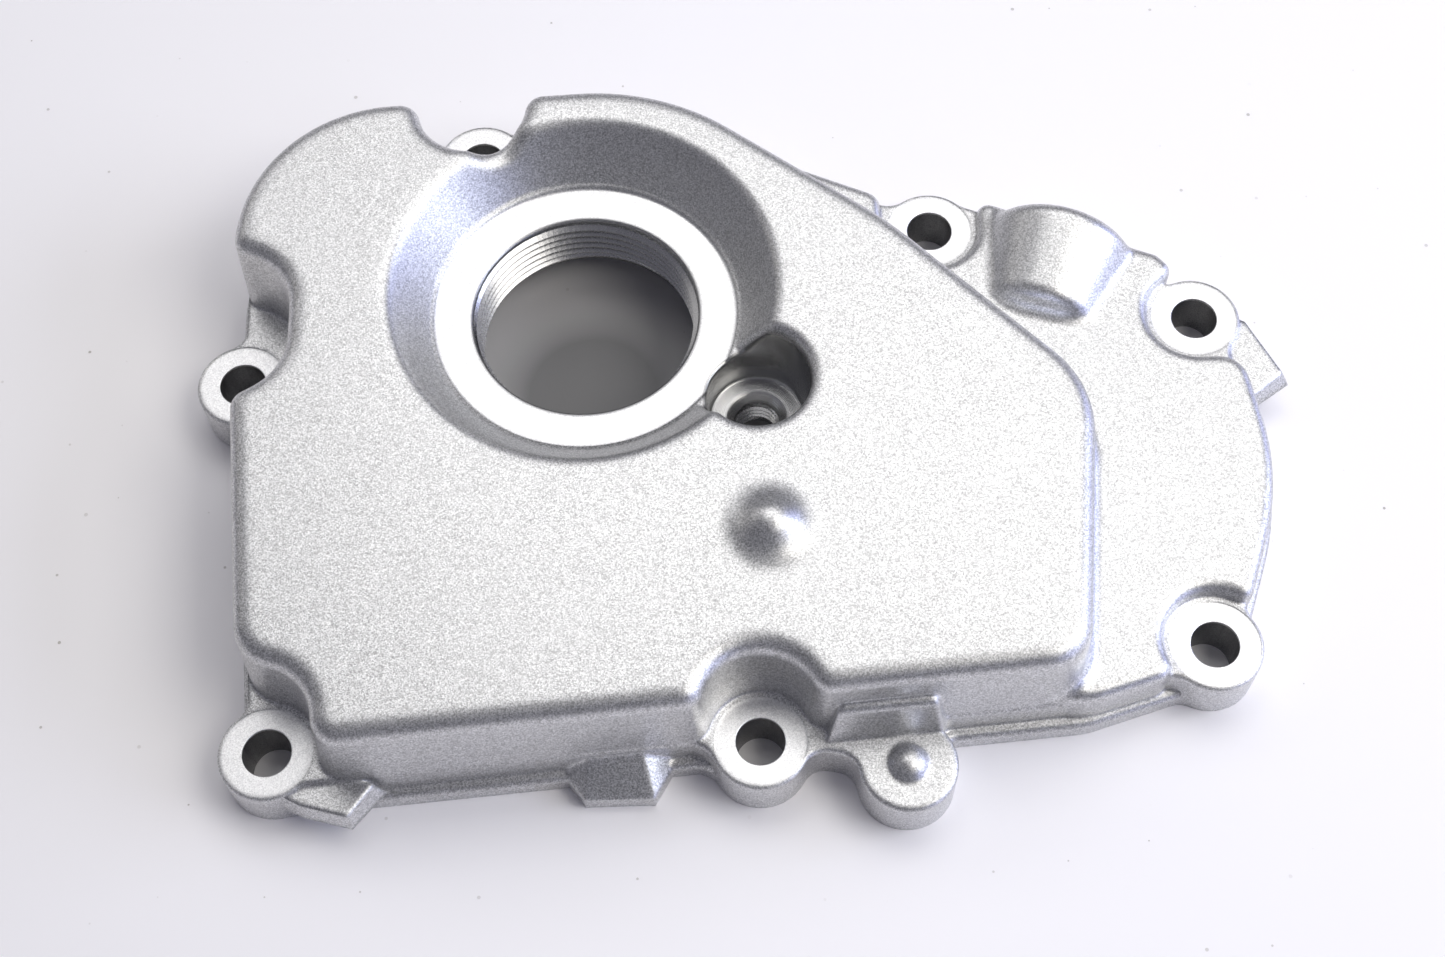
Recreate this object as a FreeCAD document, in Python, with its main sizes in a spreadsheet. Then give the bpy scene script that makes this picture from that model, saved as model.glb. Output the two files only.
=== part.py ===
"""Cast aluminium oil pump cover: one die casting, modelled in its own frame, millimetres, +Z up.

The gasket face lies on Z = 0 and the raised outer face looks up. X runs along the long side.
"""
import FreeCAD, Part
import math
import os
import Sketcher

os.makedirs("parts", exist_ok=True)
doc = FreeCAD.newDocument("oil_pump_cover")
UP = FreeCAD.Vector(0, 0, 1)

# Driving dimensions, in millimetres and degrees.
SIZES = {
    "crown_height": 23.2,
    "crown_tilt": 1.5,
    "crown_lean": 1.1,
    "crown_edge_round": 2.5,
    "shelf_height": 10.5,
    "shelf_edge_round": 1.8,
    "shelf_junction_round": 2.5,
    "flange_height": 3.5,
    "flange_overhang": 1.2,
    "flange_edge_bevel": 0.6,
    "lug_height": 8.3,
    "lug_radius": 7.0,
    "lug_edge_bevel": 0.45,
    "lug_blend": 4.0,
    "lug_inset": 0.5,
    "web_blend": 3.3,
    "tight_blend": 1.5,
    "hole_radius": 3.5,
    "spotface_radius": 6.6,
    "spotface_depth": 0.15,
    "scallop_radius": 7.4,
    "scallop_top_radius": 8.8,
    "scallop_corner": 3.0,
    "corner_left_round": 7.0,
    "corner_front_round": 4.0,
    "scallop_over": 5.1,
    "wide_scallop_radius": 8.5,
    "wide_scallop_travel": 5.0,
    "wide_scallop_draft": 4.0,
    "left_x": -72.65,
    "left_y": 15.2,
    "front_left_x": -65.4,
    "front_left_y": -44.6,
    "front_middle_x": 3.84,
    "front_middle_y": -45.8,
    "front_right_x": 69.2,
    "front_right_y": -33.95,
    "right_x": 73.5,
    "right_y": 20.25,
    "back_x": 34.15,
    "back_y": 38.2,
    "back_left_x": -36.6,
    "back_left_y": 55.0,
    "blind_x": 24.3,
    "blind_y": -49.9,
    "bore_x": -19.6,
    "bore_y": 20.5,
    "bore_radius": 17.0,
    "bore_mouth_radius": 17.3,
    "ring_height": 16.0,
    "ring_radius": 22.9,
    "ring_step": 0.6,
    "bowl_foot_radius": 23.4,
    "bowl_rise": 11.4,
    "bowl_top_radius": 32.4,
    "bowl_rim_round": 1.8,
    "well_x": 5.55,
    "well_y": 4.9,
    "well_floor": 9.8,
    "well_radius": 7.1,
    "well_top_radius": 8.4,
    "well_depth": 17.0,
    "well_rim_round": 1.3,
    "port_radius": 3.4,
    "port_mouth_radius": 4.6,
    "bump_x": 6.5,
    "bump_y": -19.1,
    "bump_rise": 3.1,
    "bump_radius": 4.3,
    "bump_blend": 7.0,
    "bump_sink": 0.02,
    "wall_pad_foot": 7.0,
    "wall_pad_lean": 11.0,
    "wall_pad_height": 16.0,
    "wall_pad_round": 1.4,
    "boss_foot_height": 3.0,
    "boss_top_height": 6.5,
    "front_tab_foot": 4.0,
    "right_tab_foot": 5.0,
    "tab_top": 7.5,
    "dome_radius": 3.4,
    "arch_x": 49.6,
    "arch_y": 21.5,
    "arch_length": 16.0,
    "arch_inner_radius": 9.4,
    "arch_outer_radius": 12.8,
    "arch_axis_height": 5.0,
    "arch_direction": 70.3,
    "arch_edge_round": 2.4,
    "arch_foot_round": 2.5,
    "bore_boss_radius": 21.0,
    "bore_boss_foot": 5.5,
    "bowl_skin_radius": 25.0,
    "port_boss_foot": 3.0,
    "wall": 4.0,
    "roof": 3.6,
    "shelf_roof": 3.4,
}

# Outline corners as (x, y, corner radius), counter-clockwise seen from above.
# The crown is the tall raised part; its back lobe runs round the threaded bore.
CROWN = [
    (-66.8, -49.1, 3),
    (49.2, -41.0, 7),
    (54.4, 1.9, 16),
    (26.2, 31.2, 60),
    (-7.15, 56.8, 36.3),
    (-72.2, 54.7, 23.7),
    (-71.8, 15.0, 20),
]
# The same outline with plain small corners, for the space inside.
CROWN_INSIDE = [(x, y, radius or 8) for x, y, radius in CROWN[:6]]
# The foot wall on the gasket side. Corners with no radius lie inside the bolt lugs.
BASE = [
    (-67.9, -50.4, 5),
    (50.5, -42.5, 12),
    (71.9, -36.2, 0),
    (82.65, -7.7, 42),
    (77.85, 18.5, 0),
    (70.2, 24.0, 0),
    (69.3, 30.7, 4),
    (36.75, 44.5, 0),
    (34.15, 40.8, 0),
    (-15.7, 64.3, 41.3),
    (-34.5, 59.3, 0),
    (-39.5, 55.9, 0),
    (-73.3, 55.8, 24.8),
    (-72.9, 15.0, 0),
]
# The flange follows the foot wall, but bends in towards the back lug.
RIM = BASE[:7] + [(43.0, 41.9, 6), (37.0, 42.6, 0)] + BASE[8:]
# The low shelf, with the bays round three bolt holes. It closes inside the crown.
SHELF = [
    (30.0, -30.0, 0),
    (38.0, -41.3, 0),
    (50.5, -42.5, 12),
    (63.04, -38.96, 2.4),
    (60.36, -31.58, 7.4),
    (68.4, -24.83, 7.4),
    (74.9, -28.55, 1.9),
    (82.65, -7.7, 42),
    (79.6, 12.75, 4.5),
    (66.0, 12.75, 7.4),
    (66.0, 24.7, 7.4),
    (71.6, 27.95, 1.9),
    (69.0, 31.2, 2.2),
    (41.65, 42.9, 1.9),
    (41.65, 30.7, 7.4),
    (26.65, 30.7, 7.4),
    (26.65, 44.35, 3),
    (-13.98, 63.5, 41.3),
    (-29.1, 60.75, 1.9),
    (-29.1, 48.0, 0),
]
# The web between the front middle lug and the blind lug.
WEB = [
    (3.84, -45.8, 0),
    (24.3, -49.9, 0),
    (24.3, -43.0, 0),
    (3.84, -43.0, 0),
]
# A thick patch on the front wall above the web.
WALL_PAD = [
    (12.9, -46.7, 0),
    (29.6, -45.7, 0),
    (31.6, -39.5, 0),
    (12.9, -39.5, 0),
]
# The front boss: a low foot on the flange and a ramp up to the wall.
BOSS_FOOT = [
    (-25.4, -46.2, 0),
    (-21.2, -51.7, 0),
    (-11.3, -51.8, 0),
    (-7.4, -45.2, 0),
]
BOSS_TOP = [
    (-21.7, -44.8, 0),
    (-20.5, -46.6, 0),
    (-12.6, -46.2, 0),
    (-11.4, -44.2, 0),
]
# Two flat tabs with slanting, trimmed ends.
FRONT_TAB_FOOT = [
    (-63.2, -51.5, 0),
    (-60.6, -52.9, 0),
    (-53.6, -54.9, 0),
    (-48.9, -49.6, 0),
    (-58.4, -46.1, 0),
]
FRONT_TAB_TOP = [
    (-62.9, -51.0, 0),
    (-60.4, -52.3, 0),
    (-53.9, -54.2, 0),
    (-50.4, -49.6, 0),
    (-58.4, -46.1, 0),
]
RIGHT_TAB_FOOT = [
    (76.5, 14.5, 0),
    (80.2, 5.1, 0),
    (87.0, 9.6, 0),
    (82.3, 19.9, 0),
    (78.6, 21.3, 0),
]
RIGHT_TAB_TOP = [
    (76.5, 14.5, 0),
    (79.7, 5.9, 0),
    (85.7, 10.5, 0),
    (81.4, 19.6, 0),
    (78.6, 21.3, 0),
]


def size(alias):
    return SIZES[alias]


def fill_sheet():
    sheet = doc.addObject("Spreadsheet::Sheet", "Sizes")
    for row, (alias, number) in enumerate(SIZES.items(), start=1):
        sheet.set("A%d" % row, alias)
        sheet.set("B%d" % row, "%g" % number)
        sheet.setAlias("B%d" % row, alias)
    doc.recompute()


def bind(thing, prop, formula):
    thing.setExpression(prop, formula)


def inset(corners, distance):
    """The outline moved inwards by distance (outwards if negative), as corners again."""
    moved = []
    count = len(corners)
    for i in range(count):
        before, here, after = corners[i - 1], corners[i], corners[(i + 1) % count]
        ax, ay = here[0] - before[0], here[1] - before[1]
        bx, by = after[0] - here[0], after[1] - here[1]
        a, b = math.hypot(ax, ay), math.hypot(bx, by)
        ax, ay, bx, by = ax / a, ay / a, bx / b, by / b
        turn = ax * by - ay * bx
        shift = distance / (1.0 + ax * bx + ay * by)
        x = here[0] + shift * (-ay - by)
        y = here[1] + shift * (ax + bx)
        radius = here[2] and max(here[2] + (distance if turn < 0 else -distance), 0.5)
        moved.append((x, y, radius))
    return moved


def rounded(corners):
    """Lines and tangent arcs that follow the corners in order."""
    count = len(corners)
    cuts = []
    for i in range(count):
        x, y, radius = corners[i]
        here = FreeCAD.Vector(x, y, 0)
        before = FreeCAD.Vector(corners[i - 1][0], corners[i - 1][1], 0)
        after = FreeCAD.Vector(corners[(i + 1) % count][0], corners[(i + 1) % count][1], 0)
        back, ahead = (before - here).normalize(), (after - here).normalize()
        half = back.getAngle(ahead) / 2
        reach = radius / math.tan(half)
        start, end = here + back * reach, here + ahead * reach
        middle = None
        if radius:
            centre = here + (back + ahead).normalize() * (radius / math.sin(half))
            middle = centre + (here - centre).normalize() * radius
        cuts.append((start, middle, end))
    pieces = []
    for i in range(count):
        start, middle, end = cuts[i]
        if middle is not None:
            pieces.append(Part.Arc(start, middle, end))
        following = cuts[(i + 1) % count][0]
        if (following - end).Length > 1e-6:
            pieces.append(Part.LineSegment(end, following))
    return pieces


def new_body(label):
    body = doc.addObject("PartDesign::Body", label)
    body.Label = label
    return body


def new_sketch(body, name, height="", tilt=""):
    """A sketch on the body's XY plane, lifted to a height and tilted about X where asked."""
    sketch = body.newObject("Sketcher::SketchObject", name)
    plane = [f for f in body.Origin.OriginFeatures if f.Role == "XY_Plane"][0]
    sketch.AttachmentSupport = [(plane, "")]
    sketch.MapMode = "FlatFace"
    if height:
        bind(sketch, ".AttachmentOffset.Base.z", height)
    if tilt:
        sketch.AttachmentOffset = FreeCAD.Placement(FreeCAD.Vector(), FreeCAD.Rotation(1, 0, 0, 1))
        bind(sketch, ".AttachmentOffset.Rotation.Axis.x", "1")
        bind(sketch, ".AttachmentOffset.Rotation.Angle", tilt)
    return sketch


def draw_outline(sketch, corners):
    for piece in rounded(corners):
        sketch.addGeometry(piece, False)


def pad(body, sketch, length, name):
    feature = body.newObject("PartDesign::Pad", name)
    feature.Profile = sketch
    bind(feature, "Length", length)
    doc.recompute()
    return feature


def slab(label, corners, length, height=""):
    """A body padded up from one outline."""
    body = new_body(label)
    sketch = new_sketch(body, label + "_outline", height)
    draw_outline(sketch, corners)
    doc.recompute()
    pad(body, sketch, length, label + "_pad")
    return body


def pick(shape, wanted):
    return ["Edge%d" % (i + 1) for i, edge in enumerate(shape.Edges) if wanted(shape, edge)]


def fillet(body, wanted, radius, name):
    base = body.Tip
    feature = body.newObject("PartDesign::Fillet", name)
    feature.Base = (base, pick(base.Shape, wanted))
    bind(feature, "Radius", radius)
    doc.recompute()
    return feature


def chamfer(body, wanted, amount, name):
    base = body.Tip
    feature = body.newObject("PartDesign::Chamfer", name)
    feature.Base = (base, pick(base.Shape, wanted))
    bind(feature, "Size", amount)
    doc.recompute()
    return feature


def place(thing, spot, height):
    bind(thing, "Placement.Base.x", "Sizes.%s_x" % spot)
    bind(thing, "Placement.Base.y", "Sizes.%s_y" % spot)
    bind(thing, "Placement.Base.z", height)
    return thing


def cylinder(name, spot, radius, height, length):
    made = doc.addObject("Part::Cylinder", name)
    bind(made, "Radius", radius)
    bind(made, "Height", length)
    return place(made, spot, height)


def cone(name, spot, lower, upper, height, length):
    made = doc.addObject("Part::Cone", name)
    bind(made, "Radius1", lower)
    bind(made, "Radius2", upper)
    bind(made, "Height", length)
    return place(made, spot, height)


def fuse(name, parts):
    made = doc.addObject("Part::MultiFuse", name)
    made.Shapes = parts
    made.Refine = True
    doc.recompute()
    return made


def cut(name, base, tool):
    made = doc.addObject("Part::Cut", name)
    made.Base = base
    made.Tool = tool
    made.Refine = True
    doc.recompute()
    return made


def body_from(label, base):
    body = new_body(label)
    body.BaseFeature = base
    doc.recompute()
    return body


def ends(edge):
    return edge.firstVertex().Point, edge.lastVertex().Point


def is_upright(edge):
    first, last = ends(edge)
    rise = abs(last.z - first.z)
    return rise > 1.0 and rise > 0.9 * (last - first).Length


def distance_to(edge, spot):
    middle = edge.valueAt((edge.FirstParameter + edge.LastParameter) / 2)
    return math.hypot(middle.x - size(spot + "_x"), middle.y - size(spot + "_y"))


def at_height(edge, height):
    first, last = ends(edge)
    return abs(first.z - height) < 0.01 and abs(last.z - height) < 0.01


SCALLOP_DEPTH = "Sizes.crown_height - Sizes.lug_height + Sizes.scallop_over"
HOLES = ["left", "front_left", "front_middle", "front_right", "right", "back", "back_left"]
LUGS = HOLES + ["blind"]

fill_sheet()

# The crown: a leaning wall up to a tilted top, with bays round four bolt holes.
crown = new_body("crown")
crown_sketch = new_sketch(crown, "crown_foot")
draw_outline(crown_sketch, inset(CROWN, -size("crown_lean")))
doc.recompute()
crown_pad = pad(crown, crown_sketch, "Sizes.crown_height + 8", "crown_pad")
bind(crown_pad, "TaperAngle", "-atan(Sizes.crown_lean / Sizes.crown_height)")
above = doc.addObject("Part::Box", "above_crown")
bind(above, "Length", "240 mm")
bind(above, "Width", "240 mm")
bind(above, "Height", "40 mm")
tilt = FreeCAD.Rotation(FreeCAD.Vector(1, 0, 0), size("crown_tilt"))
above.Placement.Rotation = tilt
back = tilt.multVec(FreeCAD.Vector(-120, -120, 0))
above.Placement.Base = FreeCAD.Vector(back.x, back.y, 0)
bind(above, "Placement.Base.z", "Sizes.crown_height - 120 * sin(Sizes.crown_tilt)")
crown_block = cut("crown_block", crown, above)
bays = []
for spot, facing in (("front_left", -130), ("front_middle", -90), ("back_left", 90)):
    bay = cone(spot + "_bay", spot, "Sizes.scallop_radius", "Sizes.scallop_top_radius",
               "Sizes.lug_height", SCALLOP_DEPTH)
    bay.Placement.Rotation = FreeCAD.Rotation(UP, facing)
    bays.append(bay)
r = size("wide_scallop_radius")
x, y = size("left_x"), size("left_y")
travel = size("wide_scallop_travel")
reach = r / math.cos(math.radians(30))
wide = new_body("left_bay")
wide_sketch = new_sketch(wide, "left_bay_outline", "Sizes.lug_height")
draw_outline(wide_sketch, [
    (x - 2 * r, y - reach / 2 + 2, 0),
    (x, y - reach, r),
    (x + r, y - reach / 2, r),
    (x + r, y + travel + reach / 2, r),
    (x, y + travel + reach, r),
    (x - 2 * r, y + travel + reach / 2 - 2, 0),
])
doc.recompute()
wide_pad = pad(wide, wide_sketch, SCALLOP_DEPTH, "left_bay_pad")
bind(wide_pad, "TaperAngle", "Sizes.wide_scallop_draft")
bays.append(wide)
bay_tools = fuse("bay_tools", bays)
crown_cut = cut("crown_with_bays", crown_block, bay_tools)
def corner_angle(shape, edge):
    """Degrees between the two faces' normals at the middle of an edge; 0 where they run on smoothly."""
    faces = shape.ancestorsOfType(edge, Part.Face)
    if len(faces) != 2:
        return 0.0
    spot = edge.valueAt((edge.FirstParameter + edge.LastParameter) / 2)
    normals = [face.normalAt(*face.Surface.parameter(spot)) for face in faces]
    return math.degrees(normals[0].getAngle(normals[1]))


def bay_corner(shape, edge):
    lowest = min(p.z for p in ends(edge))
    return is_upright(edge) and lowest > size("lug_height") - 0.1 and corner_angle(shape, edge) > 15


def crown_rim(shape, edge):
    return min(p.z for p in ends(edge)) > 20.0 and not is_upright(edge)


def near_bay(shape, edge, spot, side):
    """A bay corner of one bolt hole, on the low-x side (-1) or the high-x side (1) of it."""
    middle = edge.valueAt((edge.FirstParameter + edge.LastParameter) / 2)
    right_side = side * (middle.x - size(spot + "_x")) >= 0
    return right_side and bay_corner(shape, edge) and distance_to(edge, spot) < 14


def between_lugs(shape, edge):
    """An upright corner of the web between the front middle lug and the blind one."""
    reach = max(distance_to(edge, "front_middle"), distance_to(edge, "blind"))
    return is_upright(edge) and corner_angle(shape, edge) > 15 and reach < 15


def tight_corner(shape, edge):
    return is_upright(edge) and corner_angle(shape, edge) > 100


def open_corner(shape, edge):
    return is_upright(edge) and corner_angle(shape, edge) > 15


soft = body_from("soft_crown", crown_cut)
fillet(soft, lambda shape, edge: near_bay(shape, edge, "front_left", -1),
       "Sizes.corner_left_round", "left_corner_round")
fillet(soft, lambda shape, edge: near_bay(shape, edge, "front_left", 1),
       "Sizes.corner_front_round", "front_corner_round")
fillet(soft, bay_corner, "Sizes.scallop_corner", "crown_corner_rounds")
fillet(soft, crown_rim, "Sizes.crown_edge_round", "crown_edge_rounds")

# The low shelf beside the crown.
shelf = slab("shelf", SHELF, "Sizes.shelf_height")
fillet(shelf, lambda shape, edge: at_height(edge, size("shelf_height")),
       "Sizes.shelf_edge_round", "shelf_edge_rounds")

# The bolt lugs stand on the foot wall, each blended into it.
lug_core = slab("lug_core", inset(BASE, size("lug_inset")), "Sizes.lug_height")
web = slab("web", WEB, "Sizes.lug_height")
discs = [cylinder("lug_" + spot, spot, "Sizes.lug_radius", "0", "Sizes.lug_height") for spot in LUGS]
lugs = body_from("lugs", fuse("lugs_joined", [lug_core, web] + discs))
fillet(lugs, between_lugs, "Sizes.web_blend", "web_blends")
fillet(lugs, tight_corner, "Sizes.tight_blend", "tight_blends")
fillet(lugs, open_corner, "Sizes.lug_blend", "lug_blends")
chamfer(lugs, lambda shape, edge: at_height(edge, size("lug_height")),
        "Sizes.lug_edge_bevel", "lug_edge_bevels")

# The gasket flange stands a little proud of the foot wall.
flange_core = slab("flange_core", inset(RIM, -size("flange_overhang")), "Sizes.flange_height")
feet = []
for spot in LUGS:
    feet.append(cylinder("foot_" + spot, spot, "Sizes.lug_radius - 0.05", "0", "Sizes.flange_height"))
flange = body_from("flange", fuse("flange_joined", [flange_core] + feet))
fillet(flange, tight_corner, "Sizes.tight_blend", "flange_tight_blends")
fillet(flange, open_corner, "Sizes.lug_blend", "flange_blends")
chamfer(flange, lambda shape, edge: at_height(edge, size("flange_height")),
        "Sizes.flange_edge_bevel", "flange_edge_bevels")

def wedge(label, lower_corners, lower, upper_corners, upper):
    """A block drawn between two outlines at two heights."""
    body = new_body(label)
    first = new_sketch(body, label + "_lower", lower)
    draw_outline(first, lower_corners)
    second = new_sketch(body, label + "_upper", upper)
    draw_outline(second, upper_corners)
    doc.recompute()
    made = body.newObject("PartDesign::AdditiveLoft", label + "_loft")
    made.Profile = first
    made.Sections = [second]
    made.Ruled = True
    doc.recompute()
    return body


def pad_rim(shape, edge):
    """The wall pad's top edges, without the one buried in the wall."""
    return at_height(edge, size("wall_pad_height")) and min(p.y for p in ends(edge)) < -43.0


# The arched tunnel: half of a lying cone, cut off at the gasket plane.
arch_cone = doc.addObject("Part::Cone", "arch_cone")
bind(arch_cone, "Radius1", "Sizes.arch_inner_radius")
bind(arch_cone, "Radius2", "Sizes.arch_outer_radius")
bind(arch_cone, "Height", "Sizes.arch_length")
along = math.radians(size("arch_direction"))
arch_cone.Placement.Rotation = FreeCAD.Rotation(UP, FreeCAD.Vector(math.cos(along), math.sin(along), 0))
place(arch_cone, "arch", "Sizes.arch_axis_height")
below = doc.addObject("Part::Box", "below_gasket")
below.Placement.Base = FreeCAD.Vector(-120, -120, -40)
bind(below, "Length", "240 mm")
bind(below, "Width", "240 mm")
bind(below, "Height", "40 mm")
arch = body_from("arch", cut("arch_half", arch_cone, below))
fillet(arch, lambda shape, edge: edge.Curve.TypeId == "Part::GeomCircle",
       "Sizes.arch_edge_round", "arch_edge_rounds")

# Small cast details round the edge: wall pad, front boss, two trimmed tabs, dome and bump.
wall_pad = new_body("wall_pad")
wall_pad_sketch = new_sketch(wall_pad, "wall_pad_outline", "Sizes.wall_pad_foot")
draw_outline(wall_pad_sketch, WALL_PAD)
doc.recompute()
wall_pad_block = pad(wall_pad, wall_pad_sketch, "Sizes.wall_pad_height - Sizes.wall_pad_foot", "wall_pad_block")
bind(wall_pad_block, "TaperAngle", "-Sizes.wall_pad_lean")
doc.recompute()
fillet(wall_pad, pad_rim, "Sizes.wall_pad_round", "wall_pad_rounds")
boss_foot = slab("boss_foot", BOSS_FOOT, "Sizes.boss_foot_height")
boss_ramp = wedge("boss_ramp", BOSS_FOOT, "Sizes.boss_foot_height", BOSS_TOP, "Sizes.boss_top_height")
boss = body_from("boss", fuse("boss_joined", [boss_foot, boss_ramp]))
front_tab = wedge("front_tab", FRONT_TAB_FOOT, "Sizes.front_tab_foot", FRONT_TAB_TOP, "Sizes.tab_top")
right_tab = wedge("right_tab", RIGHT_TAB_FOOT, "Sizes.right_tab_foot", RIGHT_TAB_TOP, "Sizes.tab_top")
dome = doc.addObject("Part::Sphere", "dome")
bind(dome, "Radius", "Sizes.dome_radius")
place(dome, "blind", "Sizes.lug_height - Sizes.dome_radius / 2")
bump = new_body("bump")
bump_sketch = bump.newObject("Sketcher::SketchObject", "bump_profile")
plane = [f for f in bump.Origin.OriginFeatures if f.Role == "XZ_Plane"][0]
bump_sketch.AttachmentSupport = [(plane, "")]
bump_sketch.MapMode = "FlatFace"
ball = size("bump_radius")
rise = size("bump_rise")
blend = size("bump_blend")
foot = math.sqrt((ball + blend) ** 2 - (ball - rise + blend) ** 2)
middle = ball / (ball + blend)
touch = FreeCAD.Vector(foot * middle, rise - ball + (ball - rise + blend) * middle, 0)
top = FreeCAD.Vector(0, rise, 0)
ball_centre = FreeCAD.Vector(0, rise - ball, 0)
blend_centre = FreeCAD.Vector(foot, blend, 0)
toe = FreeCAD.Vector(foot, 0, 0)


def between(centre, first, last, radius):
    """The point of an arc half-way between two of its points."""
    return centre + ((first - centre) + (last - centre)).normalize() * radius


bump_sketch.addGeometry(Part.Arc(top, between(ball_centre, top, touch, ball), touch), False)
bump_sketch.addGeometry(Part.Arc(touch, between(blend_centre, touch, toe, blend), toe), False)
low = FreeCAD.Vector(foot, -2, 0)
bottom = FreeCAD.Vector(0, -2, 0)
bump_sketch.addGeometry(Part.LineSegment(toe, low), False)
bump_sketch.addGeometry(Part.LineSegment(low, bottom), False)
bump_sketch.addGeometry(Part.LineSegment(bottom, top), False)
doc.recompute()
bump_turn = bump.newObject("PartDesign::Revolution", "bump_turn")
bump_turn.Profile = bump_sketch
bump_turn.ReferenceAxis = (bump_sketch, ["V_Axis"])
bump_turn.Angle = 360
doc.recompute()
bump.Placement.Rotation = tilt
place(bump, "bump", "Sizes.crown_height + tan(Sizes.crown_tilt) * Sizes.bump_y - Sizes.bump_sink")
doc.recompute()

raised = [soft, shelf, lugs, flange, arch, wall_pad, boss, front_tab, right_tab, dome, bump]
solid = fuse("solid_cover", raised)
def middle_of(edge):
    return edge.valueAt((edge.FirstParameter + edge.LastParameter) / 2)


def crown_foot(shape, edge):
    """Where the crown's wall stands on the shelf."""
    if not at_height(edge, size("shelf_height")) or edge.Length < size("shelf_junction_round"):
        return False
    return soft.Shape.distToShape(Part.Vertex(middle_of(edge)))[0] < 0.01


def bowl_rim(shape, edge):
    spot = middle_of(edge)
    reach = distance_to(edge, "bore")
    near = size("bowl_foot_radius") + 3 < reach < size("bowl_top_radius") + 1
    return near and spot.z > size("crown_height") - 2


def well_rim(shape, edge):
    spot = middle_of(edge)
    low, high = size("well_radius") - 0.1, size("well_top_radius") + 0.8
    clear = math.hypot(spot.x - size("bore_x"), spot.y - size("bore_y")) > size("bowl_foot_radius") + 0.6
    first, last = ends(edge)
    straight = edge.Length - first.distanceToPoint(last) < 0.001
    near = low < distance_to(edge, "well") < high
    return near and clear and not straight and spot.z > size("ring_height") + 0.2


def arch_foot(shape, edge):
    """Where the arch stands on the shelf."""
    spot = middle_of(edge)
    level = at_height(edge, size("shelf_height")) and abs(spot.z - size("shelf_height")) < 0.01
    return level and arch.Shape.distToShape(Part.Vertex(spot))[0] < 0.01


blended = body_from("blended_cover", solid)
fillet(blended, arch_foot, "Sizes.arch_foot_round", "arch_foot_rounds")
fillet(blended, crown_foot, "Sizes.shelf_junction_round", "shelf_junction_rounds")

# Openings cut from above: bowl with its ring face and bore, well with its port, bolt holes.
bowl = new_body("bowl")
bowl_sketch = bowl.newObject("Sketcher::SketchObject", "bowl_profile")
plane = [f for f in bowl.Origin.OriginFeatures if f.Role == "XZ_Plane"][0]
bowl_sketch.AttachmentSupport = [(plane, "")]
bowl_sketch.MapMode = "FlatFace"
ring = size("ring_height")
profile = [
    (0, -1),
    (size("bore_radius"), -1),
    (size("bore_radius"), ring - (size("bore_mouth_radius") - size("bore_radius"))),
    (size("bore_mouth_radius"), ring),
    (size("ring_radius"), ring),
    (size("ring_radius"), ring + size("ring_step")),
    (size("bowl_foot_radius"), ring + size("ring_step")),
    (size("bowl_top_radius"), ring + size("ring_step") + size("bowl_rise")),
    (0, ring + size("ring_step") + size("bowl_rise")),
]
for i in range(len(profile)):
    first, last = profile[i], profile[(i + 1) % len(profile)]
    line = Part.LineSegment(FreeCAD.Vector(first[0], first[1], 0), FreeCAD.Vector(last[0], last[1], 0))
    bowl_sketch.addGeometry(line, False)
doc.recompute()
bowl_turn = bowl.newObject("PartDesign::Revolution", "bowl_turn")
bowl_turn.Profile = bowl_sketch
bowl_turn.ReferenceAxis = (bowl_sketch, ["V_Axis"])
bowl_turn.Angle = 360
doc.recompute()
place(bowl, "bore", "0")
dished = body_from("dished_cover", cut("cover_with_dish", blended, bowl))
fillet(dished, bowl_rim, "Sizes.bowl_rim_round", "bowl_rim_rounds")
well = cone("well", "well", "Sizes.well_radius", "Sizes.well_top_radius",
            "Sizes.well_floor", "Sizes.well_depth")
well.Placement.Rotation = FreeCAD.Rotation(UP, -45)
welled = body_from("welled_cover", cut("cover_with_well", dished, well))
fillet(welled, well_rim, "Sizes.well_rim_round", "well_rim_rounds")
port = cylinder("port", "well", "Sizes.port_radius", "-1", "Sizes.well_floor + 2")
port_mouth = cone("port_mouth", "well", "Sizes.port_radius", "Sizes.port_mouth_radius",
                  "Sizes.well_floor - Sizes.port_mouth_radius + Sizes.port_radius",
                  "Sizes.port_mouth_radius - Sizes.port_radius")
openings = [port, port_mouth]
for spot in HOLES:
    openings.append(cylinder("hole_" + spot, spot, "Sizes.hole_radius", "-1", "20"))
    openings.append(cylinder("spotface_" + spot, spot, "Sizes.spotface_radius",
                             "Sizes.lug_height - Sizes.spotface_depth", "4"))
opened = cut("opened_cover", welled, fuse("openings", openings))

# The hollow underside: one cavity under the crown and a lower one under the shelf and the arch.
wall = size("wall")
crown_cavity = new_body("crown_cavity")
cavity_sketch = new_sketch(crown_cavity, "cavity_foot", "-1")
draw_outline(cavity_sketch, inset(CROWN_INSIDE, wall - size("crown_lean")))
doc.recompute()
cavity_pad = pad(crown_cavity, cavity_sketch, "Sizes.crown_height + 4", "cavity_pad")
bind(cavity_pad, "TaperAngle", "-atan(Sizes.crown_lean / Sizes.crown_height)")
over = doc.addObject("Part::Box", "over_cavity")
bind(over, "Length", "240 mm")
bind(over, "Width", "240 mm")
bind(over, "Height", "40 mm")
over.Placement = above.Placement
bind(over, "Placement.Base.z", "Sizes.crown_height - Sizes.roof - 120 * sin(Sizes.crown_tilt)")
crown_space = cut("crown_space", crown_cavity, over)
shelf_cavity = slab("shelf_cavity", inset(BASE, wall + 0.5),
                    "Sizes.shelf_height - Sizes.shelf_roof + 1", "-1")
arch_cavity = doc.addObject("Part::Cone", "arch_cavity")
bind(arch_cavity, "Radius1", "Sizes.arch_inner_radius - Sizes.shelf_roof")
bind(arch_cavity, "Radius2", "Sizes.arch_outer_radius - Sizes.shelf_roof - 0.3")
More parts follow.
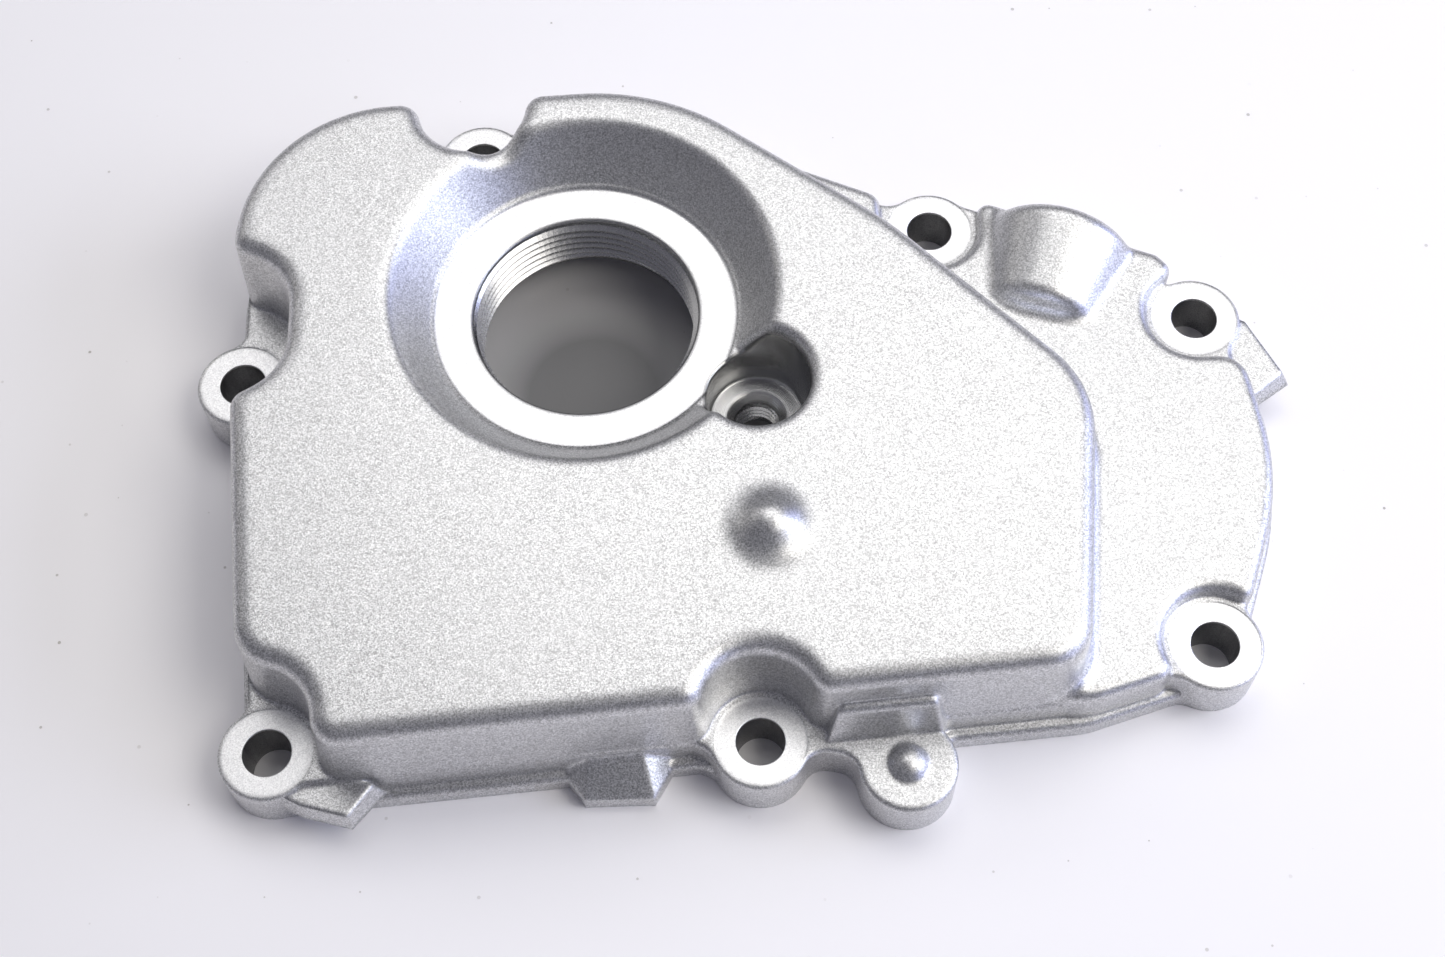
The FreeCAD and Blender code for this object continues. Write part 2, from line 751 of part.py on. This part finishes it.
bind(arch_cavity, "Height", "Sizes.arch_length - Sizes.wall - 1")
arch_cavity.Placement.Rotation = arch_cone.Placement.Rotation
place(arch_cavity, "arch", "Sizes.arch_axis_height")
hollow = fuse("hollow", [crown_space, shelf_cavity, arch_cavity])

kept = []
for spot in HOLES:
    kept.append(cylinder("boss_" + spot, spot, "Sizes.lug_radius + 0.5", "-1", "12"))
    bay = "Sizes.wide_scallop_radius" if spot == "left" else "Sizes.scallop_radius"
    kept.append(cone("bay_skin_" + spot, spot, bay + " + Sizes.roof - 0.6", bay + " + Sizes.roof + 0.9",
                     "Sizes.lug_height - Sizes.roof", "Sizes.crown_height"))
far_skin = cone("bay_skin_left_far", "left", "Sizes.wide_scallop_radius + Sizes.roof - 0.6",
                "Sizes.wide_scallop_radius + Sizes.roof + 0.9",
                "Sizes.lug_height - Sizes.roof", "Sizes.crown_height")
bind(far_skin, "Placement.Base.y", "Sizes.left_y + Sizes.wide_scallop_travel")
kept.append(far_skin)
kept.append(cylinder("bore_boss", "bore", "Sizes.bore_boss_radius", "Sizes.bore_boss_foot", "30"))
kept.append(cone("bowl_skin", "bore", "Sizes.bowl_skin_radius",
                 "Sizes.bowl_skin_radius + Sizes.bowl_top_radius - Sizes.bowl_foot_radius",
                 "Sizes.ring_height - Sizes.roof", "Sizes.bowl_rise"))
kept.append(cylinder("well_boss", "well", "Sizes.well_radius + Sizes.roof",
                     "Sizes.well_floor - Sizes.roof", "30"))
kept.append(cylinder("port_boss", "well", "Sizes.port_radius + Sizes.roof", "Sizes.port_boss_foot", "20"))
keep = fuse("kept_inside", kept)
cavity = body_from("cavity", cut("cavity_space", hollow, keep))
cover = body_from("cover", cut("hollowed_cover", opened, cavity))


def check_everything():
    """Every object must have been rebuilt without an error and hold a sound shape."""
    for thing in doc.Objects:
        if "Invalid" in thing.State or "Error" in thing.State:
            raise RuntimeError("%s did not rebuild" % thing.Name)
        shape = getattr(thing, "Shape", None)
        if shape is None or thing.TypeId.startswith("App::"):
            continue
        if shape.isNull() or not shape.isValid():
            raise RuntimeError("%s has no sound shape" % thing.Name)


# The frame: middle of the outline in X and Y, gasket face on Z = 0.
box = cover.Shape.optimalBoundingBox(False)
cover.Placement.Base = FreeCAD.Vector(-box.Center.x, -box.Center.y, 0)
doc.recompute()
check_everything()
if len(cover.Shape.Solids) != 1:
    raise RuntimeError("the cover is not one solid")
cover.Shape.exportStep("parts/cover.step")
box = cover.Shape.optimalBoundingBox(False)
print("size", round(box.XLength, 3), round(box.YLength, 3), round(box.ZLength, 3))
print("moved by", [round(v, 3) for v in cover.Placement.Base])
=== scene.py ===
import math

import bmesh
import bpy
from mathutils import Matrix, Vector


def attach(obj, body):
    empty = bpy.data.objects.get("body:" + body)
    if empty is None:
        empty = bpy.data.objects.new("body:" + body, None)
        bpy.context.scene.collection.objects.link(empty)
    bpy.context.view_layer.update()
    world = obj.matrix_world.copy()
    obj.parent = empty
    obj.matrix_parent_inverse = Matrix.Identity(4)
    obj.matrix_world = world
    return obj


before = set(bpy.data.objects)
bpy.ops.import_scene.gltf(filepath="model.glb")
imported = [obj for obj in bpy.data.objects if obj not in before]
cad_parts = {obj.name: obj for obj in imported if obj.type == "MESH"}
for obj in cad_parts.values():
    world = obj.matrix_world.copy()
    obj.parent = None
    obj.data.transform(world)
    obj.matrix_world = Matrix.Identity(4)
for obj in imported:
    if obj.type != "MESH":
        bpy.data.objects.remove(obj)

# The part's own sizes are in mm. The floor and the lights are in metres.
MM = 0.001
# The CAD model's place against the photograph's own measuring frame.
SHIFT = Vector((-3.675, -3.055, 0.0))


def measured(x, y):
    """A place in the photograph's measuring frame, as the CAD model has it."""
    return Vector((x, y, 0.0)) + SHIFT


BORE = measured(-19.6, 20.5)
BORE_RADIUS = 17.0
RING_RADIUS = 22.9
RING_HEIGHT = 16.0
PORT = measured(5.55, 4.9)
PORT_RADIUS = 3.4
WELL_HEIGHT = 15.8
LUG_HEIGHT = 8.3
LUGS = [
    measured(-72.65, 15.2),
    measured(-65.4, -44.6),
    measured(3.84, -45.8),
    measured(69.2, -33.95),
    measured(73.5, 20.25),
    measured(34.15, 38.2),
    measured(-36.6, 55.0),
]
ORIGIN = Vector((0, 0, 0))

# Where a tool has cut the casting, and the walls inside it with painted shade: the axes, the
# radius, the two heights, and how softly the place ends at its side and at its heights.
SIDE_SOFT = 0.15
END_SOFT = 0.05
CUT_AND_SHADED_PLACES = {
    "ring_face": ([BORE], RING_RADIUS, RING_HEIGHT - 0.05, RING_HEIGHT + 0.05, SIDE_SOFT, END_SOFT),
    "bore_wall": ([BORE], BORE_RADIUS + 0.45, 5.2, RING_HEIGHT - 0.02, SIDE_SOFT, END_SOFT),
    "well_wall": ([PORT], 8.3, 0.0, WELL_HEIGHT, SIDE_SOFT, END_SOFT),
    "well_throat": ([PORT], 8.1, WELL_HEIGHT, 21.2, 0.1, 0.4),
    "spot_faces": (LUGS, 6.6, LUG_HEIGHT - 0.2, LUG_HEIGHT - 0.05, SIDE_SOFT, END_SOFT),
    "bolt_walls": (LUGS, 4.0, -0.5, LUG_HEIGHT - 0.6, SIDE_SOFT, END_SOFT),
}

# How far the cast edges are rounded: low on the part, on top of the crown, and
# round the drilled bolt holes, which stay sharp.
LOW_EDGE = 1.1
CROWN_EDGE = 2.2
CROWN_EDGE_HEIGHTS = (17.5, 20.5)
DRILLED_EDGE = 0.25
DRILLED_REACH = 4.6

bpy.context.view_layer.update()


# Nodes

def new_material(name):
    material = bpy.data.materials.new(name)
    material.use_nodes = True
    return material, material.node_tree, material.node_tree.nodes["Principled BSDF"]


def add_node(tree, kind, **values):
    node = tree.nodes.new(kind)
    for name, value in values.items():
        setattr(node, name, value)
    return node


def feed(tree, socket, value):
    """Link a node's output to the socket, or set a constant on it."""
    if isinstance(value, bpy.types.NodeSocket):
        tree.links.new(value, socket)
    else:
        socket.default_value = value


def math_node(tree, operation, *values):
    node = add_node(tree, "ShaderNodeMath", operation=operation)
    for socket, value in zip(node.inputs, values):
        feed(tree, socket, value)
    return node.outputs[0]


def both(tree, first, second):
    return math_node(tree, "MULTIPLY", first, second)


def either(tree, first, second):
    return math_node(tree, "MAXIMUM", first, second)


def mix_value(tree, factor, low, high):
    node = add_node(tree, "ShaderNodeMix", data_type="FLOAT")
    for index, value in ((0, factor), (2, low), (3, high)):
        feed(tree, node.inputs[index], value)
    return node.outputs[0]


def mix_colour(tree, factor, low, high):
    node = add_node(tree, "ShaderNodeMix", data_type="RGBA")
    for index, value in ((0, factor), (6, low), (7, high)):
        feed(tree, node.inputs[index], value)
    return node.outputs[2]


def grey(level, blue):
    """A neutral grey with its own blue, because most of the metal is a little cool."""
    return (level, level, blue, 1)


def object_place(tree):
    return add_node(tree, "ShaderNodeTexCoord").outputs["Object"]


def noise(tree, place, per_mm, detail, roughness):
    node = add_node(tree, "ShaderNodeTexNoise")
    feed(tree, node.inputs["Vector"], place)
    feed(tree, node.inputs["Scale"], per_mm / MM)
    feed(tree, node.inputs["Detail"], detail)
    feed(tree, node.inputs["Roughness"], roughness)
    return node.outputs[0]


def cells(tree, place, per_mm, dimensions):
    """Scattered cells: how far a point is from its cell's middle, and two numbers of the cell."""
    node = add_node(tree, "ShaderNodeTexVoronoi", voronoi_dimensions=dimensions)
    feed(tree, node.inputs["Vector"], place)
    feed(tree, node.inputs["Scale"], per_mm / MM)
    numbers = add_node(tree, "ShaderNodeSeparateColor")
    feed(tree, numbers.inputs[0], node.outputs["Color"])
    return node.outputs["Distance"], numbers.outputs[0], numbers.outputs[1]


def spread(tree, value, low, high):
    """Nought at low, one at high, and clamped beyond them."""
    node = add_node(tree, "ShaderNodeMapRange")
    feed(tree, node.inputs["Value"], value)
    feed(tree, node.inputs["From Min"], low)
    feed(tree, node.inputs["From Max"], high)
    return node.outputs[0]


def near_axis(tree, place, centre, radius, soft=SIDE_SOFT):
    """One inside an upright cylinder, nought outside it."""
    flat = add_node(tree, "ShaderNodeVectorMath", operation="MULTIPLY")
    feed(tree, flat.inputs[0], place)
    feed(tree, flat.inputs[1], (1, 1, 0))
    distance = add_node(tree, "ShaderNodeVectorMath", operation="DISTANCE")
    feed(tree, distance.inputs[0], flat.outputs[0])
    feed(tree, distance.inputs[1], centre * MM)
    return spread(tree, distance.outputs["Value"], (radius + soft) * MM, (radius - soft) * MM)


def near_any(tree, place, centres, radius, soft=SIDE_SOFT):
    """One inside any of the upright cylinders, nought outside them."""
    inside = near_axis(tree, place, centres[0], radius, soft)
    for centre in centres[1:]:
        inside = either(tree, inside, near_axis(tree, place, centre, radius, soft))
    return inside


def between(tree, height, low, high, soft):
    above = spread(tree, height, (low - soft) * MM, low * MM)
    below = spread(tree, height, (high + soft) * MM, high * MM)
    return both(tree, above, below)


def cut_mask(tree, place, height, centres, radius, low, high, side_soft, end_soft):
    """One where a tool has cut, nought on the bare casting."""
    inside = near_any(tree, place, centres, radius, side_soft)
    return both(tree, inside, between(tree, height, low, high, end_soft))


def add_bump(tree, shader, relief, strength, distance, normal=None):
    bump = add_node(tree, "ShaderNodeBump")
    feed(tree, bump.inputs["Strength"], strength)
    feed(tree, bump.inputs["Distance"], distance * MM)
    feed(tree, bump.inputs["Height"], relief)
    if normal is not None:
        feed(tree, bump.inputs["Normal"], normal)
    feed(tree, shader.inputs["Normal"], bump.outputs[0])


# Materials

def turning_marks(tree, place):
    """The fine rings that a cutter leaves round the port's axis."""
    from_port = add_node(tree, "ShaderNodeVectorMath", operation="SUBTRACT")
    feed(tree, from_port.inputs[0], place)
    feed(tree, from_port.inputs[1], PORT * MM)
    rings = add_node(tree, "ShaderNodeTexWave", wave_type="RINGS", rings_direction="Z")
    feed(tree, rings.inputs["Vector"], from_port.outputs[0])
    feed(tree, rings.inputs["Scale"], 1.4 / MM)
    feed(tree, rings.inputs["Distortion"], 0.6)
    return rings.outputs["Fac"]


def rounded_edges(tree, place, height):
    """The normal of the casting with its edges rounded."""
    low, high = (limit * MM for limit in CROWN_EDGE_HEIGHTS)
    radius = mix_value(tree, spread(tree, height, low, high), LOW_EDGE * MM, CROWN_EDGE * MM)
    bolt_hole_edges_and_shade = near_any(tree, place, LUGS, DRILLED_REACH)
    radius = mix_value(tree, bolt_hole_edges_and_shade, radius, DRILLED_EDGE * MM)
    bevel = add_node(tree, "ShaderNodeBevel", samples=8)
    feed(tree, bevel.inputs["Radius"], radius)
    return bevel.outputs[0]


def cast_aluminium():
    """A silver coat on cast metal, bare and bright on faces a tool has cut, with painted shade
    inside the bore, well and bolt holes and painted highlights on the edges.
    """
    material, tree, shader = new_material("silver_coated_casting")
    place = object_place(tree)
    axes = add_node(tree, "ShaderNodeSeparateXYZ")
    feed(tree, axes.inputs[0], place)
    height = axes.outputs["Z"]

    grain = noise(tree, place, 6.0, 2.0, 0.65)
    cloud = noise(tree, place, 0.045, 3.0, 0.5)
    flake = cells(tree, place, 7.0, "3D")[1]
    masks = {name: cut_mask(tree, place, height, *sizes) for name, sizes in CUT_AND_SHADED_PLACES.items()}
    faced = either(tree, masks["ring_face"], masks["spot_faces"])
    bore_and_well_walls = either(tree, masks["bore_wall"], masks["well_wall"])
    bore_and_well_walls = either(tree, bore_and_well_walls, masks["well_throat"])

    coat = mix_colour(tree, flake, grey(0.29, 0.293), grey(0.91, 0.912))
    coat = mix_colour(tree, spread(tree, cloud, 0.2, 2.2), coat, grey(0.62, 0.625))
    bright = mix_colour(tree, flake, grey(0.68, 0.685), grey(0.98, 0.98))
    # Painted shade: the bore and well walls are coloured darker than their bare metal, for the
    # shade inside them.
    bare_metal_with_painted_shade = mix_colour(tree, grain, grey(0.30, 0.305), grey(0.52, 0.52))
    # Painted shade: the bolt holes' walls are coloured near black for the shade inside them.
    bolt_hole_edges_and_shade = mix_colour(tree, grain, grey(0.10, 0.105), grey(0.26, 0.265))
    colour = mix_colour(tree, faced, coat, bright)
    colour = mix_colour(tree, bore_and_well_walls, colour, bare_metal_with_painted_shade)
    colour = mix_colour(tree, masks["bolt_walls"], colour, bolt_hole_edges_and_shade)
    # Painted highlight: sharp edges are lightened, mixed with the grain, as a glint along them.
    edge = add_node(tree, "ShaderNodeNewGeometry").outputs["Pointiness"]
    painted_edge_highlight = both(tree, spread(tree, edge, 0.54, 0.72), spread(tree, grain, 0.35, 0.75))
    colour = mix_colour(tree, painted_edge_highlight, colour, grey(0.80, 0.80))
    feed(tree, shader.inputs["Base Color"], colour)
    feed(tree, shader.inputs["Metallic"], 0.92)

    rough = mix_value(tree, grain, 0.30, 0.48)
    rough = mix_value(tree, spread(tree, cloud, 0.2, 1.4), rough, 0.38)
    rough = mix_value(tree, faced, rough, 0.40)
    rough = mix_value(tree, bore_and_well_walls, rough, 0.24)
    feed(tree, shader.inputs["Roughness"], rough)

    turned = both(tree, turning_marks(tree, place), masks["well_wall"])
    cast = both(tree, grain, math_node(tree, "SUBTRACT", 1.0, bore_and_well_walls))
    relief = math_node(tree, "MULTIPLY_ADD", turned, 0.7, cast)
    add_bump(tree, shader, relief, 0.5, 0.03, rounded_edges(tree, place, height))
    return material


def thread_metal_with_painted_shade():
    """The bare metal of the threads, its colour darkened as painted shade inside the bore and the
    port.
    """
    material, tree, shader = new_material("thread_metal_painted_shade")
    grain = noise(tree, object_place(tree), 2.2, 3.0, 0.6)
    colour = mix_colour(tree, grain, grey(0.42, 0.43), grey(0.62, 0.63))
    feed(tree, shader.inputs["Base Color"], colour)
    feed(tree, shader.inputs["Metallic"], 1.0)
    feed(tree, shader.inputs["Roughness"], mix_value(tree, grain, 0.20, 0.34))
    add_bump(tree, shader, grain, 0.15, 0.03)
    return material


def table_top():
    """A pale speckled table: lighter round the cover as a painted pool of light, with a painted
    shadow under its bore, and glowing faintly far away, so that a low view keeps a pale background."""
    material, tree, shader = new_material("pale_table")
    place = object_place(tree)
    cloud = noise(tree, place, 0.012, 3.0, 0.5)
    fine = noise(tree, place, 1.3, 3.0, 0.6)
    distance, size, strength = cells(tree, place, 0.08, "2D")
    speck = math_node(tree, "LESS_THAN", distance, both(tree, size, 0.026))
    speck = both(tree, speck, spread(tree, strength, 0.35, 1.1))

    colour = mix_colour(
        tree, spread(tree, cloud, 0.3, 0.7), (0.86, 0.845, 0.865, 1), (0.90, 0.885, 0.905, 1)
    )
    # Painted light: the table is lighter round the cover, as a pool of light.
    painted_light_round_cover = near_axis(tree, place, ORIGIN, 190, 110)
    colour = mix_colour(tree, painted_light_round_cover, colour, (0.97, 0.955, 0.975, 1))
    colour = mix_colour(tree, speck, colour, (0.42, 0.39, 0.36, 1))
    # Painted shadow: the table is dark in a soft disc under the bore.
    painted_shadow_under_bore = near_axis(tree, place, BORE - Vector((0, 5, 0)), 20, 10)
    colour = mix_colour(tree, painted_shadow_under_bore, colour, grey(0.17, 0.175))
    feed(tree, shader.inputs["Base Color"], colour)
    feed(tree, shader.inputs["Roughness"], mix_value(tree, fine, 0.45, 0.62))

    within = near_axis(tree, place, ORIGIN, 1150, 550)
    feed(tree, shader.inputs["Emission Color"], colour)
    feed(tree, shader.inputs["Emission Strength"], mix_value(tree, within, 0.75, 0.0))
    add_bump(tree, shader, fine, 0.12, 0.05)
    return material


# Pieces

def show(item):
    bpy.context.scene.collection.objects.link(item)


STEPS_PER_TURN = 120
FADE_TURNS = 0.35
# The ridge's half width at its foot as a share of the pitch, its crest's half width as a
# share of that, and how far the foot is sunk in the wall.
FOOT_SHARE = 0.40
CREST_SHARE = 0.22
SUNK = 0.03


def thread(name, centre, root, crest, pitch, low, high, material):
    """A screw thread's ridge, which runs up a bore's wall and fades out at both ends."""
    turns = (high - low) / pitch
    depth = root - crest
    foot = pitch * FOOT_SHARE
    top = foot * CREST_SHARE
    mesh = bmesh.new()
    rows = []
    for index in range(int(turns * STEPS_PER_TURN) + 1):
        along = index / STEPS_PER_TURN
        angle = 2 * math.pi * along
        fade = min(1.0, along / FADE_TURNS, (turns - along) / FADE_TURNS)
        inner = root - depth * max(fade, 0.0)
        outer = root + SUNK
        height = low + along * pitch
        row = []
        for radius, offset in ((outer, -foot), (inner, -top), (inner, top), (outer, foot)):
            point = Vector((
                centre.x + radius * math.cos(angle),
                centre.y + radius * math.sin(angle),
                height + offset,
            ))
            row.append(mesh.verts.new(point * MM))
        rows.append(row)
    for first, second in zip(rows, rows[1:]):
        for index in range(4):
            after = (index + 1) % 4
            mesh.faces.new((first[index], first[after], second[after], second[index]))
    mesh.faces.new(rows[0])
    mesh.faces.new(rows[-1])
    bmesh.ops.recalc_face_normals(mesh, faces=mesh.faces)
    data = bpy.data.meshes.new(name)
    mesh.to_mesh(data)
    mesh.free()
    piece = bpy.data.objects.new(name, data)
    show(piece)
    data.materials.append(material)
    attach(piece, "root")


casting = cast_aluminium()
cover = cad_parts["cover"]
for slot in cover.material_slots:
    slot.material = casting

# Each thread: its axis, root and crest radius, pitch, lowest and highest point.
turned = thread_metal_with_painted_shade()
thread("bore_thread", BORE, BORE_RADIUS, 16.2, 1.5, 6.4, 14.9, turned)
thread("port_thread", PORT, PORT_RADIUS, 3.02, 1.0, 3.6, 8.0, turned)


# Floor

HALF = 6.0
floor_mesh = bpy.data.meshes.new("table_top")
floor_mesh.from_pydata(
    [(-HALF, -HALF, 0), (HALF, -HALF, 0), (HALF, HALF, 0), (-HALF, HALF, 0)],
    [],
    [(0, 1, 2, 3)],
)
floor = bpy.data.objects.new("table_top", floor_mesh)
show(floor)
floor_mesh.materials.append(table_top())


# Light

# Each panel: its place, what it faces, its width and depth, its watts and its colour.
WARM = (1.0, 0.97, 0.90)
CENTRE = (0.0, 0.0, 0.0)
LIGHTS = {
    "back_softbox": ((-0.05, 0.95, 0.95), (-0.05, 0.95, 0.0), 2.1, 0.6, 4.2, (1.0, 0.99, 0.99)),
    "top_softbox": ((0.18, 0.40, 0.95), (0.18, 0.40, 0.0), 1.05, 0.5, 3.7, (1.0, 0.99, 0.97)),
    "right_softbox": ((0.70, -0.20, 0.95), (0.70, -0.20, 0.0), 0.7, 0.7, 6.0, WARM),
    "high_window": ((1.15, -0.05, 0.60), CENTRE, 0.9, 0.4, 6.6, (0.80, 0.85, 1.0)),
    "low_window": ((1.15, 0.35, 0.24), CENTRE, 0.9, 0.5, 2.0, (0.36, 0.42, 1.0)),
    "front_window": ((0.95, -0.60, 0.24), CENTRE, 0.8, 0.35, 1.6, (0.50, 0.56, 1.0)),
    "left_window": ((-1.0, 0.65, 0.60), CENTRE, 0.9, 0.5, 0.7, WARM),
}
for name, (place, target, width, depth, watts, colour) in LIGHTS.items():
    light = bpy.data.lights.new(name, "AREA")
    light.shape = "RECTANGLE"
    light.size = width
    light.size_y = depth
    light.energy = watts
    light.color = colour
    lamp = bpy.data.objects.new(name, light)
    lamp.location = place
    aim = Vector(target) - Vector(place)
    lamp.rotation_euler = aim.to_track_quat("-Z", "Y").to_euler()
    show(lamp)

world = bpy.data.worlds.new("studio")
world.use_nodes = True
background = world.node_tree.nodes["Background"]
background.inputs["Color"].default_value = (0.85, 0.85, 1.0, 1)
background.inputs["Strength"].default_value = 0.19
bpy.context.scene.world = world


# Camera

# The camera that the photograph's circles give: angles in radians, the distance and the
# sensor in mm, and the focal length in the photograph's pixels.
ELEVATION = 1.094732719578207
ROLL = -0.04019133793301931
DISTANCE = 330.74876751175555
SENSOR = 36.0
PIXELS_WIDE = 1445
FOCAL_PIXELS = 2161.6890562603908

forward = Vector((0, math.cos(ELEVATION), -math.sin(ELEVATION)))
right = Vector((1, 0, 0))
upward = right.cross(forward)
rolled_right = right * math.cos(ROLL) + upward * math.sin(ROLL)
rolled_up = upward * math.cos(ROLL) - right * math.sin(ROLL)
turn = Matrix((rolled_right, rolled_up, -forward)).transposed().to_4x4()

camera_data = bpy.data.cameras.new("camera")
camera_data.sensor_fit = "HORIZONTAL"
camera_data.sensor_width = SENSOR
camera_data.lens = FOCAL_PIXELS * SENSOR / PIXELS_WIDE
camera = bpy.data.objects.new("camera", camera_data)
camera.matrix_world = Matrix.Translation((SHIFT - forward * DISTANCE) * MM) @ turn
show(camera)
bpy.context.scene.camera = camera
bpy.context.scene.view_settings.view_transform = "Standard"
